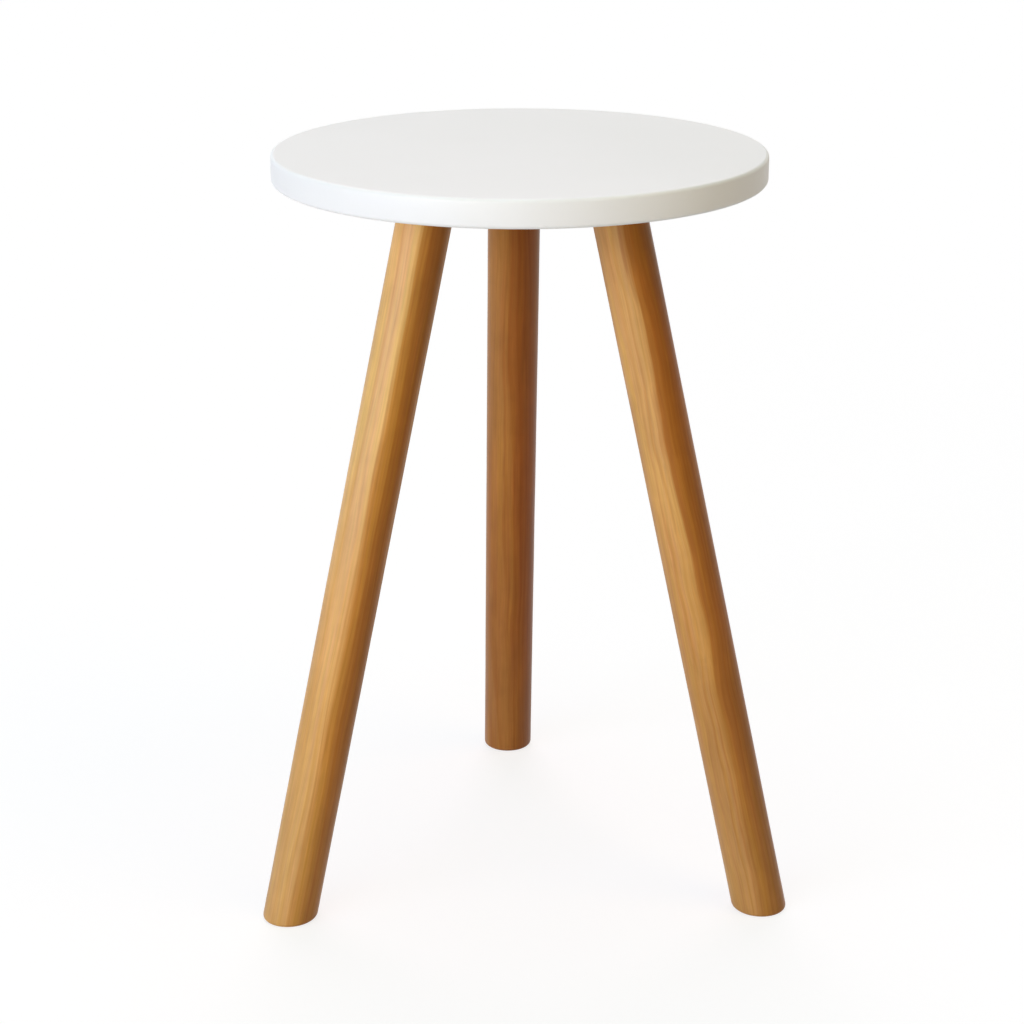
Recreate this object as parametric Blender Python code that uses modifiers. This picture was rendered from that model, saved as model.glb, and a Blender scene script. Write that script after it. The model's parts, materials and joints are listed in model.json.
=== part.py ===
"""Round side table: a white lacquered round top on three splayed round wooden legs.

Metres, +Z up, with the floor at z = 0. Each leg carries a hanger bolt in its upper end, which screws into the nut
behind the slanted seat of a pressed steel plate. Four wood screws hold each plate to the underside of the top.
The origin is on the floor, under the middle of the table's box. The table's own axis stands a little in front of
it, because one of the three legs points straight back."""

import math

import bmesh
import bpy
from mathutils import Matrix, Vector

# The whole table
TABLE_HEIGHT = 0.500
FIT_GAP = 0.0003  # between pieces that touch
OVERRUN = 0.002  # how far a cutter runs past what it cuts

# The top
TOP_DIAMETER = 0.320
TOP_THICKNESS = 0.018
TOP_EDGE_RADIUS = 0.0025

# The legs. Their reach is measured from the table's axis to the leg's own axis.
LEG_AZIMUTHS = {"rear": 90, "front_left": 210, "front_right": 330}  # degrees
LEG_DIAMETER = 0.036
LEG_REACH_AT_TOP = 0.067  # in the plane of the top's underside
LEG_REACH_AT_FLOOR = 0.183
LEG_END_CHAMFER = 0.001
LEG_FOOT_RADIUS = 0.003  # of the softened edge round the foot

# The steel plates
PLATE_THICKNESS = 0.002
PLATE_SEAT_MARGIN = 0.002  # from the leg's end to the edge of the seat
PLATE_WALL_RUN = 0.003  # how much wider the pocket is at its mouth than at its seat, on each side
PLATE_FLANGE = 0.007  # from the mouth of the pocket to the plate's nearest edge
PLATE_CORNER_RADIUS = 0.008
PLATE_BEND = 0.0022  # from a fold's corner to where its bend starts
PLATE_HEADROOM = 0.0015  # from the end of the hanger bolt to the underside of the top

# The nuts and the hanger bolts
BOLT_DIAMETER = 0.008
BOLT_IN_LEG = 0.030
BOLT_POINT = 0.006
BOLT_END_CHAMFER = 0.001
BOLT_PAST_NUT = 0.001
BOLT_HOLE_ROOM = 0.001  # between the bolt's point and the end of its hole
NUT_ACROSS_FLATS = 0.013
NUT_HEIGHT = 0.0065
NUT_EDGE_CHAMFER = 0.0004

# The wood screws
SCREW_DIAMETER = 0.004
SCREW_LENGTH = 0.016
SCREW_POINT = 0.004
SCREW_HEAD_DIAMETER = 0.008
SCREW_HEAD_RIM = 0.0003
SCREW_INSET = 0.0075  # from the plate's edges to the screw
SCREW_HOLE_ROOM = 0.0005  # between the screw's point and the end of its hole
RECESS_WIDTH = 0.0044
RECESS_SLOT = 0.001
RECESS_DEPTH = 0.0018
RECESS_BOTTOM_SHARE = 0.45  # of the recess's width, left at its bottom

# Counts and angles
TOP_SIDES = 120
LEG_SIDES = 48
PLATE_SIDES = 24
BOLT_SIDES = 20
SCREW_SIDES = 16
ROUND_STEPS = 3
CORNER_STEPS = 5
BEND_STEPS = 2
FOLD_ANGLE = math.radians(30)
SHARP_ANGLE = math.radians(32)
MERGE_DISTANCE = 0.00001

# Derived sizes
UNDERSIDE = TABLE_HEIGHT - TOP_THICKNESS
SPLAY = math.atan2(LEG_REACH_AT_FLOOR - LEG_REACH_AT_TOP, UNDERSIDE)
BOLT_PAST_LEG = 2 * FIT_GAP + PLATE_THICKNESS + NUT_HEIGHT + BOLT_PAST_NUT
SEAT_DROP = (
    (BOLT_PAST_LEG - FIT_GAP) * math.cos(SPLAY) + BOLT_DIAMETER / 2 * math.sin(SPLAY) + PLATE_HEADROOM
)  # from the underside of the top down to the middle of the seat that the leg rests against
LEG_LENGTH = (UNDERSIDE - SEAT_DROP) / math.cos(SPLAY) - FIT_GAP
PLATE_REACH = LEG_REACH_AT_TOP + SEAT_DROP * math.tan(SPLAY)
SEAT_RADIUS = LEG_DIAMETER / 2 + PLATE_SEAT_MARGIN
MOUTH_RADIUS = SEAT_RADIUS + PLATE_WALL_RUN
PLATE_HALF_SIDE = MOUTH_RADIUS + PLATE_FLANGE
BOLT_HOLE_RADIUS = BOLT_DIAMETER / 2 + FIT_GAP
FOOT_REACH = LEG_REACH_AT_FLOOR + LEG_DIAMETER / 2 / math.cos(SPLAY) - LEG_FOOT_RADIUS * math.tan(SPLAY)
AXIS_PLACE = (TOP_DIAMETER / 2 - FOOT_REACH) / 2  # where the table's axis stands along Y


def clear_scene():
    for old in list(bpy.data.objects):
        bpy.data.objects.remove(old)


def collection(name):
    new = bpy.data.collections.new(name)
    bpy.context.scene.collection.children.link(new)
    return new


def principled(name, colour, roughness, metallic=0.0):
    material = bpy.data.materials.new(name)
    material.use_nodes = True
    shader = material.node_tree.nodes["Principled BSDF"]
    shader.inputs["Base Color"].default_value = (*colour, 1.0)
    shader.inputs["Roughness"].default_value = roughness
    shader.inputs["Metallic"].default_value = metallic
    return material


def white_lacquer():
    return principled("white_lacquer", (0.83, 0.83, 0.80), 0.35)


def stained_pine():
    return principled("stained_pine", (0.50, 0.25, 0.08), 0.38)


def pressed_steel():
    return principled("pressed_steel", (0.55, 0.56, 0.58), 0.32, 1.0)


def plated_nut():
    return principled("plated_nut", (0.62, 0.62, 0.60), 0.30, 1.0)


def plated_bolt():
    return principled("plated_bolt", (0.60, 0.58, 0.50), 0.28, 1.0)


def plated_screw():
    return principled("plated_screw", (0.66, 0.66, 0.67), 0.25, 1.0)


def link(obj, group, parent=None, place=None):
    """Puts the object in its group and, where a place is given, there in its parent's frame."""
    group.objects.link(obj)
    obj.parent = parent
    if place is not None:
        obj.matrix_basis = place
    return obj


def part(name, mesh, group, parent, place):
    return link(bpy.data.objects.new(name, mesh), group, parent, place)


def cutter(name, mesh, group):
    obj = link(bpy.data.objects.new(name, mesh), group)
    obj.hide_render = True
    obj.display_type = "WIRE"
    return obj


def mesh_from(name, shape):
    """The bmesh as a mesh. The bmesh is freed."""
    mesh = bpy.data.meshes.new(name)
    bmesh.ops.recalc_face_normals(shape, faces=shape.faces)
    shape.to_mesh(mesh)
    shape.free()
    return mesh


def pattern(name, mesh, group):
    """A working object that carries modifiers until finished_mesh() takes its shape."""
    return link(bpy.data.objects.new(name, mesh), group)


def boolean(obj, operation, other):
    modifier = obj.modifiers.new(f"{operation.lower()} {other.name}", "BOOLEAN")
    modifier.operation = operation
    modifier.solver = "EXACT"
    modifier.object = other


def finished_mesh(obj, material=None):
    """The working object's mesh with its modifiers applied, smooth but for its real edges. The object goes."""
    graph = bpy.context.evaluated_depsgraph_get()
    mesh = bpy.data.meshes.new_from_object(obj.evaluated_get(graph))
    mesh.name = obj.name
    mesh.shade_smooth()
    mesh.set_sharp_from_angle(angle=SHARP_ANGLE)
    if material:
        mesh.materials.append(material)
    bpy.data.objects.remove(obj)
    return mesh


def turned(name, profile, sides, group):
    """A working object turned about Z from (radius, height) points that run down its outer side."""
    mesh = bpy.data.meshes.new(name)
    points = [(radius, 0, height) for radius, height in profile]
    mesh.from_pydata(points, [(i, i + 1) for i in range(len(points) - 1)], [])
    obj = pattern(name, mesh, group)
    screw = obj.modifiers.new("turn", "SCREW")
    screw.steps = sides
    screw.render_steps = sides
    screw.use_merge_vertices = True
    screw.merge_threshold = MERGE_DISTANCE
    return obj


def quarter(centre_radius, centre_height, radius, start):
    """Points of a quarter circle, turning clockwise from the start angle in degrees."""
    angles = [math.radians(start - 90 * step / ROUND_STEPS) for step in range(ROUND_STEPS + 1)]
    return [(centre_radius + radius * math.cos(a), centre_height + radius * math.sin(a)) for a in angles]


def repeated(name, mesh, places):
    """One mesh that holds a copy of another at each place."""
    shape = bmesh.new()
    for place in places:
        before = len(shape.verts)
        shape.from_mesh(mesh)
        shape.verts.ensure_lookup_table()
        bmesh.ops.transform(shape, matrix=place, verts=shape.verts[before:])
    return mesh_from(name, shape)


def screw_hole_mesh(group):
    """The room that a wood screw needs, in the screw's own frame: its head's flat face is at zero and it points up."""
    shank = SCREW_DIAMETER / 2 + FIT_GAP
    head = SCREW_HEAD_DIAMETER / 2 + FIT_GAP * math.sqrt(2)
    end = SCREW_LENGTH + SCREW_HOLE_ROOM
    profile = [
        (0, end),
        (shank, end),
        (shank, SCREW_HEAD_RIM + head - shank),
        (head, SCREW_HEAD_RIM),
        (head, -OVERRUN),
        (0, -OVERRUN),
    ]
    return finished_mesh(turned("screw_hole", profile, SCREW_SIDES, group))


def screw_places():
    """Where a plate's four screws stand, in the plate's frame."""
    offset = PLATE_HALF_SIDE - SCREW_INSET
    corners = [(offset, -offset), (offset, offset), (-offset, offset), (-offset, -offset)]
    return [Matrix.Translation((x, y, -PLATE_THICKNESS)) for x, y in corners]


def station_place(azimuth):
    """The frame of one leg's side of the table: +X runs outwards from the table's axis."""
    return Matrix.Rotation(math.radians(azimuth), 4, "Z")


def plate_place():
    """The plate's frame, with the middle of its upper face at zero, on its side of the table."""
    return Matrix.Translation((PLATE_REACH, 0, UNDERSIDE - FIT_GAP))


def top_mesh(screw_hole, group, cutters):
    """The round board in its own frame, with the middle of its underside at zero."""
    radius = TOP_DIAMETER / 2
    inner = radius - TOP_EDGE_RADIUS
    upper = quarter(inner, TOP_THICKNESS - TOP_EDGE_RADIUS, TOP_EDGE_RADIUS, 90)
    lower = quarter(inner, TOP_EDGE_RADIUS, TOP_EDGE_RADIUS, 0)
    board = turned("top_panel", [(0, TOP_THICKNESS), *upper, *lower, (0, 0)], TOP_SIDES, group)
    down = Matrix.Translation((0, 0, -UNDERSIDE))
    places = [
        down @ station_place(azimuth) @ plate_place() @ place
        for azimuth in LEG_AZIMUTHS.values()
        for place in screw_places()
    ]
    boolean(board, "DIFFERENCE", cutter("pilot_holes", repeated("pilot_holes", screw_hole, places), cutters))
    return finished_mesh(board, white_lacquer())


def leg_mesh(group, cutters):
    """A leg in its own frame: zero is where its axis meets the floor, and +Z runs up that axis."""
    radius = LEG_DIAMETER / 2
    below = radius * math.tan(SPLAY) + OVERRUN
    pole = bmesh.new()
    bmesh.ops.create_cone(
        pole, cap_ends=True, segments=LEG_SIDES, radius1=radius, radius2=radius, depth=LEG_LENGTH + below
    )
    bmesh.ops.translate(pole, vec=(0, 0, (LEG_LENGTH - below) / 2), verts=pole.verts)
    level = Vector((math.sin(SPLAY), 0, math.cos(SPLAY)))  # straight up, in the leg's frame
    everything = [*pole.verts, *pole.edges, *pole.faces]
    bmesh.ops.bisect_plane(pole, geom=everything, plane_co=(0, 0, 0), plane_no=level, clear_inner=True)
    bmesh.ops.holes_fill(pole, edges=[edge for edge in pole.edges if edge.is_boundary], sides=LEG_SIDES)
    rims = [edge for edge in pole.edges if edge.calc_face_angle(0) > FOLD_ANGLE]
    foot = [edge for edge in rims if edge.verts[0].co.z < LEG_LENGTH / 2]
    bmesh.ops.bevel(
        pole, geom=foot, offset=LEG_FOOT_RADIUS, segments=ROUND_STEPS, profile=0.5, affect="EDGES"
    )
    end = [edge for edge in pole.edges if all(abs(v.co.z - LEG_LENGTH) < MERGE_DISTANCE for v in edge.verts)]
    bmesh.ops.bevel(pole, geom=end, offset=LEG_END_CHAMFER, segments=1, profile=0.5, affect="EDGES")
    leg = pattern("leg", mesh_from("leg", pole), group)
    depth = BOLT_IN_LEG + BOLT_HOLE_ROOM
    hole = bmesh.new()
    bmesh.ops.create_cone(
        hole,
        cap_ends=True,
        segments=BOLT_SIDES,
        radius1=BOLT_HOLE_RADIUS,
        radius2=BOLT_HOLE_RADIUS,
        depth=depth + OVERRUN,
    )
    bmesh.ops.translate(hole, vec=(0, 0, LEG_LENGTH + (OVERRUN - depth) / 2), verts=hole.verts)
    boolean(leg, "DIFFERENCE", cutter("leg_bolt_hole", mesh_from("leg_bolt_hole", hole), cutters))
    return finished_mesh(leg, stained_pine())


def seat_place():
    """The frame of a plate's slanted seat, in the plate's frame: zero is the middle of the face that the leg meets."""
    return Matrix.Translation((0, 0, FIT_GAP - SEAT_DROP)) @ Matrix.Rotation(-SPLAY, 4, "Y")


def plate_sheet():
    """The lower face of the pressed sheet, open at its outside and at its bolt hole."""
    flange = Matrix.Translation((0, 0, -PLATE_THICKNESS))
    rings = [
        (2 * PLATE_HALF_SIDE, flange),
        (MOUTH_RADIUS, flange),
        (SEAT_RADIUS, seat_place()),
        (BOLT_HOLE_RADIUS, seat_place()),
    ]
    sheet = bmesh.new()
    loops = []
    for radius, place in rings:
        turns = [math.tau * step / PLATE_SIDES for step in range(PLATE_SIDES)]
        points = [place @ Vector((radius * math.cos(turn), radius * math.sin(turn), 0)) for turn in turns]
        loops.append([sheet.verts.new(point) for point in points])
    for outer, inner in zip(loops, loops[1:]):
        for i in range(PLATE_SIDES):
            sheet.faces.new((outer[i], outer[i - 1], inner[i - 1], inner[i]))
    mesh = mesh_from("leg_plate", sheet)
    if mesh.polygons[0].normal.z > 0:
        mesh.flip_normals()
    return mesh


def plate_mesh(screw_hole, group, cutters):
    """A pressed plate in its own frame, with the middle of its upper face at zero."""
    plate = pattern("leg_plate", plate_sheet(), group)
    bend = plate.modifiers.new("bend", "BEVEL")
    bend.width = PLATE_BEND
    bend.segments = BEND_STEPS
    bend.limit_method = "ANGLE"
    bend.angle_limit = FOLD_ANGLE
    thick = plate.modifiers.new("sheet", "SOLIDIFY")
    thick.thickness = PLATE_THICKNESS
    thick.offset = -1
    thick.use_even_offset = True
    reach = SEAT_DROP + SEAT_RADIUS  # deeper than the lowest point of the pocket
    blank = bmesh.new()
    bmesh.ops.create_cube(blank, size=1)
    bmesh.ops.scale(
        blank, vec=(2 * PLATE_HALF_SIDE, 2 * PLATE_HALF_SIDE, reach + OVERRUN), verts=blank.verts
    )
    bmesh.ops.translate(blank, vec=(0, 0, (OVERRUN - reach) / 2), verts=blank.verts)
    upright = [edge for edge in blank.edges if edge.verts[0].co.xy == edge.verts[1].co.xy]
    bmesh.ops.bevel(
        blank, geom=upright, offset=PLATE_CORNER_RADIUS, segments=CORNER_STEPS, profile=0.5, affect="EDGES"
    )
    boolean(plate, "INTERSECT", cutter("plate_blank", mesh_from("plate_blank", blank), cutters))
    holes = repeated("plate_screw_holes", screw_hole, screw_places())
    boolean(plate, "DIFFERENCE", cutter("plate_screw_holes", holes, cutters))
    return finished_mesh(plate, pressed_steel())


def nut_mesh(group, cutters):
    """A hexagon nut in its own frame, with the middle of the face that lies on the seat at zero."""
    corner = NUT_ACROSS_FLATS / 2 / math.cos(math.radians(30))
    hexagon = bmesh.new()
    bmesh.ops.create_cone(
        hexagon, cap_ends=True, segments=6, radius1=corner, radius2=corner, depth=NUT_HEIGHT
    )
    bmesh.ops.translate(hexagon, vec=(0, 0, NUT_HEIGHT / 2), verts=hexagon.verts)
    bmesh.ops.bevel(
        hexagon, geom=hexagon.edges[:], offset=NUT_EDGE_CHAMFER, segments=1, profile=0.5, affect="EDGES"
    )
    nut = pattern("weld_nut", mesh_from("weld_nut", hexagon), group)
    bore = bmesh.new()
    bmesh.ops.create_cone(
        bore,
        cap_ends=True,
        segments=BOLT_SIDES,
        radius1=BOLT_HOLE_RADIUS,
        radius2=BOLT_HOLE_RADIUS,
        depth=NUT_HEIGHT + 2 * OVERRUN,
    )
    bmesh.ops.translate(bore, vec=(0, 0, NUT_HEIGHT / 2), verts=bore.verts)
    boolean(nut, "DIFFERENCE", cutter("nut_bore", mesh_from("nut_bore", bore), cutters))
    return finished_mesh(nut, plated_nut())


def bolt_mesh(group):
    """A hanger bolt in its own frame: zero is at the leg's end, and it points down into the leg."""
    radius = BOLT_DIAMETER / 2
    profile = [
        (0, BOLT_PAST_LEG),
        (radius - BOLT_END_CHAMFER, BOLT_PAST_LEG),
        (radius, BOLT_PAST_LEG - BOLT_END_CHAMFER),
        (radius, BOLT_POINT - BOLT_IN_LEG),
        (0, -BOLT_IN_LEG),
    ]
    return finished_mesh(turned("hanger_bolt", profile, BOLT_SIDES, group), plated_bolt())


def recess_blade(name, turn, group):
    """One of the two crossed blades that press the recess into a screw's head."""
    blade = bmesh.new()
    bmesh.ops.create_cube(blade, size=1)
    bmesh.ops.scale(blade, vec=(RECESS_WIDTH, RECESS_SLOT, RECESS_DEPTH + OVERRUN), verts=blade.verts)
    bmesh.ops.translate(blade, vec=(0, 0, (RECESS_DEPTH - OVERRUN) / 2), verts=blade.verts)
    bottom = [vert for vert in blade.verts if vert.co.z > 0]
    bmesh.ops.scale(blade, vec=(RECESS_BOTTOM_SHARE, RECESS_BOTTOM_SHARE, 1), verts=bottom)
    bmesh.ops.rotate(blade, matrix=Matrix.Rotation(turn, 3, "Z"), verts=blade.verts)
    return cutter(name, mesh_from(name, blade), group)


def screw_mesh(group, cutters):
    """A countersunk wood screw in its own frame: its head's flat face is at zero and it points up."""
    shank = SCREW_DIAMETER / 2
    head = SCREW_HEAD_DIAMETER / 2
    profile = [
        (0, SCREW_LENGTH),
        (shank, SCREW_LENGTH - SCREW_POINT),
        (shank, SCREW_HEAD_RIM + head - shank),
        (head, SCREW_HEAD_RIM),
        (head, 0),
        (0, 0),
    ]
    screw = turned("plate_screw", profile, SCREW_SIDES, group)
    boolean(screw, "DIFFERENCE", recess_blade("recess_blade_1", 0, cutters))
    boolean(screw, "DIFFERENCE", recess_blade("recess_blade_2", math.radians(90), cutters))
    return finished_mesh(screw, plated_screw())


def build():
    clear_scene()
    group = collection("round_side_table")
    cutters = collection("cutters")
    screw_hole = screw_hole_mesh(group)
    leg = leg_mesh(group, cutters)
    plate = plate_mesh(screw_hole, group, cutters)
    nut = nut_mesh(group, cutters)
    bolt = bolt_mesh(group)
    screw = screw_mesh(group, cutters)

    table = link(bpy.data.objects.new("table", None), group, None, Matrix.Translation((0, AXIS_PLACE, 0)))
    top = top_mesh(screw_hole, group, cutters)
    part("top_panel", top, group, table, Matrix.Translation((0, 0, UNDERSIDE)))
    for side, azimuth in LEG_AZIMUTHS.items():
        station = link(bpy.data.objects.new(f"station_{side}", None), group, table, station_place(azimuth))
        foot = Matrix.Translation((LEG_REACH_AT_FLOOR, 0, 0)) @ Matrix.Rotation(-SPLAY, 4, "Y")
        leg_part = part(f"leg_{side}", leg, group, station, foot)
        part(f"hanger_bolt_{side}", bolt, group, leg_part, Matrix.Translation((0, 0, LEG_LENGTH)))
        plate_part = part(f"leg_plate_{side}", plate, group, station, plate_place())
        nut_seat = seat_place() @ Matrix.Translation((0, 0, PLATE_THICKNESS + FIT_GAP))
        part(f"weld_nut_{side}", nut, group, plate_part, nut_seat)
        for number, place in enumerate(screw_places(), start=1):
            part(f"plate_screw_{side}_{number}", screw, group, plate_part, place)


build()
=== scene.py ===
"""The looks of the round side table: a white lacquered board on three splayed poles of stained pine, which screw
into steel plates under the board.

Metres, +Z up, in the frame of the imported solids. Every solid is rebuilt as a finer mesh in its place, and every
finish is made by nodes."""

import json
import math

import bmesh
import bpy
from mathutils import Matrix, Vector, noise


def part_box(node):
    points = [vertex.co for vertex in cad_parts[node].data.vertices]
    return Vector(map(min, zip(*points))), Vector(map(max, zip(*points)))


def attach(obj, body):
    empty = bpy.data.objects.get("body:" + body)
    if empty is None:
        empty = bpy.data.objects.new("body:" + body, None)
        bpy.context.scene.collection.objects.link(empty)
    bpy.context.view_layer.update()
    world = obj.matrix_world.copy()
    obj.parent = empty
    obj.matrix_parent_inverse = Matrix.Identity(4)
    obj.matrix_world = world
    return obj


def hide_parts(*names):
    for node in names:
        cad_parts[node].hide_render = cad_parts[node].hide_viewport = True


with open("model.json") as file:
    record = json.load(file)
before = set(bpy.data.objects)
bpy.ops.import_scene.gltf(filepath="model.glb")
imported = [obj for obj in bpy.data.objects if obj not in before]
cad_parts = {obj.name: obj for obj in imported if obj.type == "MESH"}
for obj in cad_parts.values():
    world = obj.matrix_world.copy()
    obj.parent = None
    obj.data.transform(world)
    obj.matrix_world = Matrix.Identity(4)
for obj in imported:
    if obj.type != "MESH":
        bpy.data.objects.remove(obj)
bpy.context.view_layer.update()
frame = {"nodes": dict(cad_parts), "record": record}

# What the solids were made from
LEG_AZIMUTHS = {"rear": 90, "front_left": 210, "front_right": 330}  # degrees
LEG_DIAMETER = 0.036
LEG_REACH_AT_TOP = 0.067  # from the table's axis to the leg's, in the plane of the board's underside
LEG_END_CHAMFER = 0.001
LEG_FOOT_RADIUS = 0.003
TOP_EDGE_RADIUS = 0.0025
FIT_GAP = 0.0003
PLATE_THICKNESS = 0.002
PLATE_SEAT_MARGIN = 0.002  # from the leg's end to the edge of the slanted seat
PLATE_WALL_RUN = 0.003
PLATE_CORNER_RADIUS = 0.008
PLATE_BEND = 0.0022
BOLT_DIAMETER = 0.008
BOLT_IN_LEG = 0.030
BOLT_POINT = 0.006
BOLT_END_CHAMFER = 0.001
BOLT_HOLE_ROOM = 0.001
SCREW_DIAMETER = 0.004
SCREW_POINT = 0.004
SCREW_HEAD_RIM = 0.0003
SCREW_HOLE_ROOM = 0.0005
RECESS_WIDTH = 0.0044
RECESS_SLOT = 0.001
RECESS_DEPTH = 0.0018
RECESS_BOTTOM_SHARE = 0.45  # of the recess's width, left at its bottom
SCREWS_PER_PLATE = 4

# Details that only the fine steel pieces have
PLATE_EDGE_RADIUS = 0.0003
NUT_CONE = math.radians(30)  # of the chamfer turned on a nut's corners
NUT_CONE_START_SHARE = 0.97  # of half the width across flats
MACHINE_PITCH = 0.00125
MACHINE_DEPTH = 0.00062
LAG_PITCH = 0.0026
LAG_DEPTH = 0.0010
LAG_COLLAR = 0.003  # of plain shank, just inside the leg
LAG_SHARPNESS = 2.4
LAG_TIP_RADIUS = 0.0004
MACHINE_SHARPNESS = 1.0
SCREW_PITCH = 0.0018
SCREW_THREAD_DEPTH = 0.00055
SCREW_NECK = 0.0022  # of plain shank under the screw's head
SCREW_SHARPNESS = 2.2
SCREW_TIP_RADIUS = 0.0002
THREAD_FADE = 0.0012  # over which a thread runs out
THREAD_LIMIT = 0.6  # of the radius, that a thread cuts at most

# How finely the meshes are made
TOP_SIDES = 288
LEG_SIDES = 128
LEG_RINGS = 72
EDGE_STEPS = 8
FINE_EDGE_STEPS = 2
PLATE_SIDES = 96
CORNER_STEPS = 10
BEND_STEPS = 6
HOLE_SIDES = 32
BOLT_SIDES = 40
SCREW_SIDES = 28
THREAD_STEPS = 10  # rings for each turn of a thread
SHARP_ANGLE = math.radians(32)  # a fold that is shaded as an edge
FOLD_ANGLE = math.radians(30)  # a fold that gets rounded
EDGE_ANGLE = math.radians(70)  # a fold of a plate that is a cut edge
MERGE_DISTANCE = 0.00001  # between points that count as one
RING_GAP = 0.00001  # between the end of a plain shank and the start of a thread
WELD_DISTANCE = 0.000001  # between points that a cut left in the same place
SLIVER = 0.00003  # an edge that a cut left in a plate's outline, too short to round
OVERRUN = 0.002  # of every cut, past what it cuts

# The poles were sanded by hand, so they are a little uneven
SANDING_DEPTH = 0.00012
SANDING_LENGTH = 0.045  # of one shallow wave along the pole
SANDING_ROUND = 0.020  # of one round it
SANDING_CONTRAST = 1.6
POLE_ROOM = 0.0001  # between the fine pole and the facets of its solid

# Finishes. Scales are in features per metre, and a span holds most levels of a noise.
CLOUD_SPAN = (0.3, 0.7)
STREAK_SPAN = (0.35, 0.65)
GLOSS_SPAN = (0.2, 0.8)
NOISE_MIDDLE = (0.5, 0.5, 0.5)
SEED_SPREAD = (1.0, 1.7, 0.6)  # makes a place in the noise out of one seed

# The lacquer
LACQUER_LOW = (0.845, 0.845, 0.830)
LACQUER_HIGH = (0.865, 0.865, 0.852)
LACQUER_ROUGHNESS = (0.36, 0.42)
LACQUER_TONE_SCALE = 9.0
PEEL_SCALE = 620.0
PEEL_HEIGHT = 0.00004
DUST_SCALE = 2600.0
DUST_HEIGHT = 0.000008

# The steels: colour and roughness
STEELS = {
    "zinc_plate": ((0.60, 0.61, 0.63), 0.30),
    "zinc_nut": ((0.64, 0.64, 0.62), 0.28),
    "yellow_zinc": ((0.66, 0.58, 0.40), 0.28),
    "bright_zinc": ((0.70, 0.70, 0.71), 0.24),
}
SPANGLE_SCALE = 900.0
SPANGLE_SHARE = 0.5  # of a spangle's level, that darkens it
SPANGLE_DARK = 0.86
SMEAR_SCALE = 120.0
SMEAR_HEIGHT = 0.00002
SMEAR_GLOSS = (-0.06, 0.10)  # added to the roughness

# The pine. A scale counts features across, across and along the fibres.
DRIFT_ACROSS = 18
FIBRE_DRIFT = 0.008
UNEVEN_SCALE = (70, 70, 4)
STRENGTH_SCALE = (130, 130, 3)
STREAK_SCALE = (260, 260, 5)
STREAK_SHARE = 0.22  # of the tone, that follows the streaks and not the wood's age
FIBRES = {  # finer streaks: scale, height, and the darkest and the lightest of their shades
    "fine": ((900, 900, 14), 0.00004, ((0.25, 0.90), (0.75, 1.08))),
    "hair": ((2600, 2600, 60), 0.000015, ((0.30, 0.95), (0.70, 1.03))),
}
SOAKS = {  # how the stain soaked in: scale, detail and shades
    "patch": ((55, 55, 10), 3.0, ((0.3, 0.87), (0.7, 1.07))),
    "mottle": ((120, 120, 70), 2.0, ((0.3, 0.96), (0.7, 1.03))),
}
STAIN_AND_PAINTED_LIGHT_AGES = (0.07, 0.19, 0.31, 0.57, 0.73, 0.84)  # where the tones stand, from the pith's side to the far one; the pale far side faces the lamps and is partly a painted highlight
FOOT_SHARE = 0.6  # of the duller tone, at the foot
FOOT_REACH = 0.34  # up the leg, where the duller tone has gone
RING_UNEVENNESS = 2.2  # in rings
FAINT_SHARE = 0.2  # of the figure, that the faintest rings keep
LATE_WOOD = ((0.0, 0.0), (0.40, 0.15), (0.74, 1.0), (0.86, 0.85), (1.0, 0.0))  # how late, across one ring
LATE_TINT = (0.86, 0.72, 0.54)  # what the darkest late wood leaves of a tone
ROSY_TINT = (0.975, 0.945, 1.03)  # the hues of the wide streaks
GOLDEN_TINT = (1.02, 1.05, 0.92)
TONE_AND_PAINTED_SHADE_ALONG = (  # how the tone changes along a pole: a share of its length, and what is left of a tone there; the darkening at the upper end, under the board, is painted shade
    (0.08, (0.93, 0.94, 0.95)),
    (0.27, (0.90, 0.85, 0.80)),
    (0.45, (0.95, 0.91, 0.87)),
    (0.66, (1.0, 1.02, 1.05)),
    (0.83, (1.0, 1.02, 1.05)),
    # painted shade of the board, over the upper end of the pole
    (0.96, (0.87, 0.85, 0.83)),
)
PINE_ROUGHNESS = (0.34, 0.42)
PINE_SPECULAR = 0.14
# The piths are placed so that the far, pale side of every pole faces the lamps on the left: the pale tones are
# partly a painted highlight there, and the deep tones partly painted shade.
PINES = {
    "rear": {
        "pith": (0.017, -0.047),
        "lean": (0.0, 0.02),
        "spacing": 0.0040,
        "figure": 0.75,
        "wander": 7,
        "seed": 3.1,
        # darker than the front poles' tones: partly the wood's own colour and partly painted shade
        "tone": ((0.435, 0.185, 0.043), (0.375, 0.127, 0.022), (0.35, 0.106, 0.015)),
        "foot": (0.40, 0.160, 0.036),
    },
    "front_left": {
        "pith": (-0.056, 0.0205),
        "lean": (0.0, 0.0),
        "spacing": 0.0040,
        "figure": 0.55,
        "wander": 6,
        "seed": 11.7,
        "tone": ((0.795, 0.470, 0.178), (0.58, 0.260, 0.050), (0.44, 0.160, 0.022)),
        "foot": (0.60, 0.310, 0.095),
    },
    "front_right": {
        "pith": (0.043, 0.036),
        "lean": (0.0, 0.0),
        "spacing": 0.0034,
        "figure": 0.65,
        "wander": 12,
        "seed": 6.4,
        "tone": ((0.615, 0.330, 0.110), (0.430, 0.162, 0.028), (0.36, 0.122, 0.015)),
        "foot": (0.45, 0.220, 0.060),
    },
}

# Camera, fitted to the outlines in the photograph
CAMERA_PLACE = Vector((-0.07514, -1.54886, 0.7858))  # from where the table's axis meets the floor
CAMERA_YAW = 0.0453
CAMERA_PITCH = 0.3309
CAMERA_LENS = 85.167
CAMERA_SENSOR = 36.0

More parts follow.
